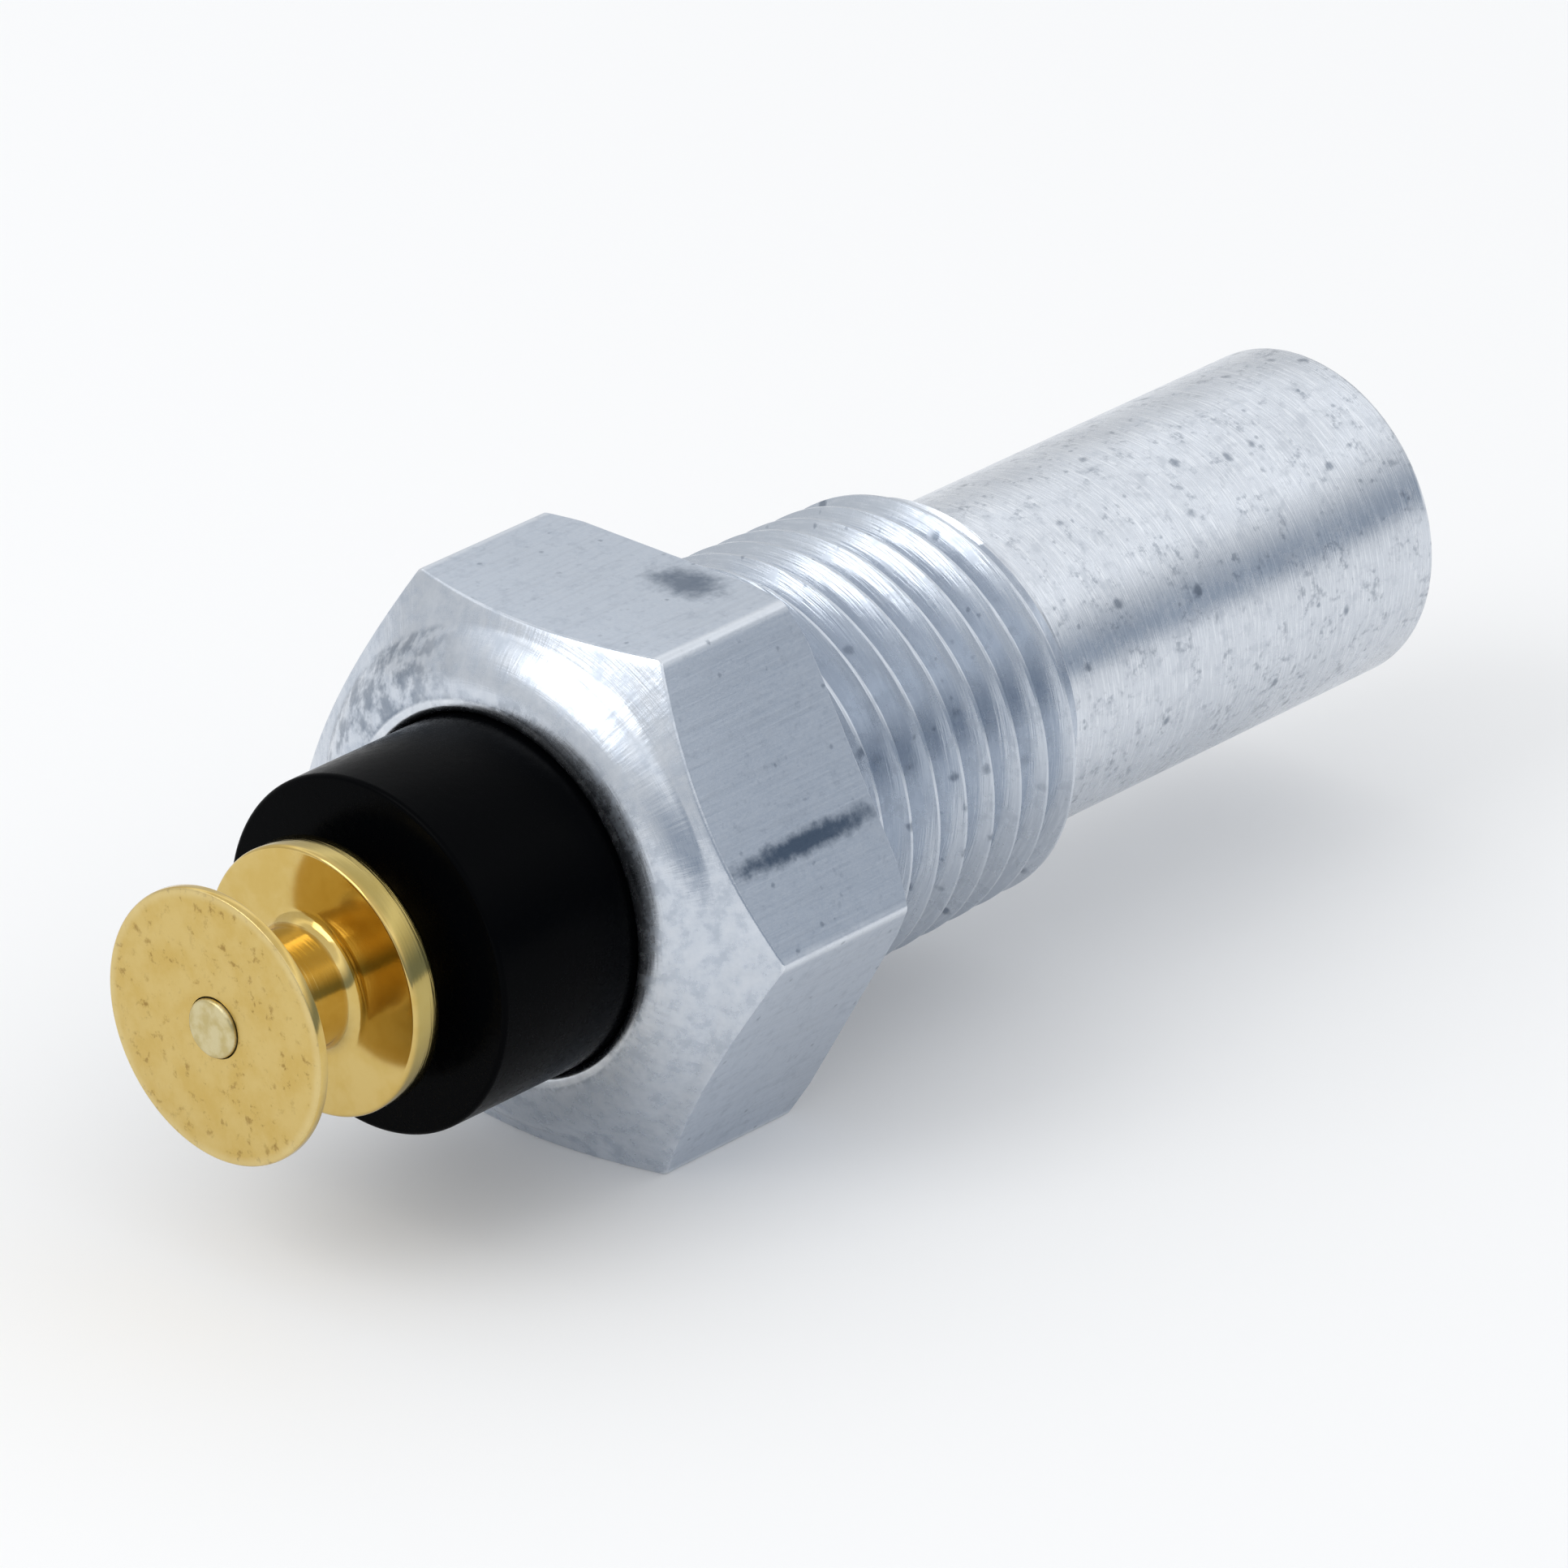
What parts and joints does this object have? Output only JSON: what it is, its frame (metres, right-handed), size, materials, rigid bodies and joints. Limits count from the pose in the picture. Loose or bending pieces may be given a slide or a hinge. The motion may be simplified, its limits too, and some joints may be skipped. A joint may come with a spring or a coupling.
{
  "type": "temperature sender",
  "caption": "Threaded temperature sender: closed round probe, tapered thread, hexagon with a rolled lip, black insulating bush and a brass spool terminal.",
  "frame": {"origin": "on the axis, in the rear face of the hexagon, where the thread starts", "axes": "+X along the axis towards the probe's tip, -X towards the spool terminal, +Z out of an upper flat of the hexagon"},
  "size_m": [0.0578, 0.023, 0.02],
  "materials": {
    "bare_aluminium": "turned and drawn bare metal with fine machining lines, small dark spots and stains",
    "black_moulding": "smooth moulded black, soft sheen",
    "seal_rubber": "plain moulded rubber",
    "polished_brass": "polished between the discs, satin and speckled on the front face",
    "tinned_metal": "dull tinned rivet end",
    "contact_brass": "plain stamped brass",
    "sleeve_plastic": "plain insulating tube",
    "spring_steel": "bright drawn wire",
    "sensor_ceramic": "pressed dark ceramic"
  },
  "bodies": {
    "root": {"body": "bare_aluminium", "insulating_bush": "black_moulding", "sealing_ring": "seal_rubber", "spool_terminal": "polished_brass", "terminal_rivet": "tinned_metal", "contact_washer": "contact_brass", "insulating_sleeve": "sleeve_plastic", "contact_spring": "spring_steel", "contact_cap": "contact_brass", "sensing_disc": "sensor_ceramic"}
  },
  "joints": []
}
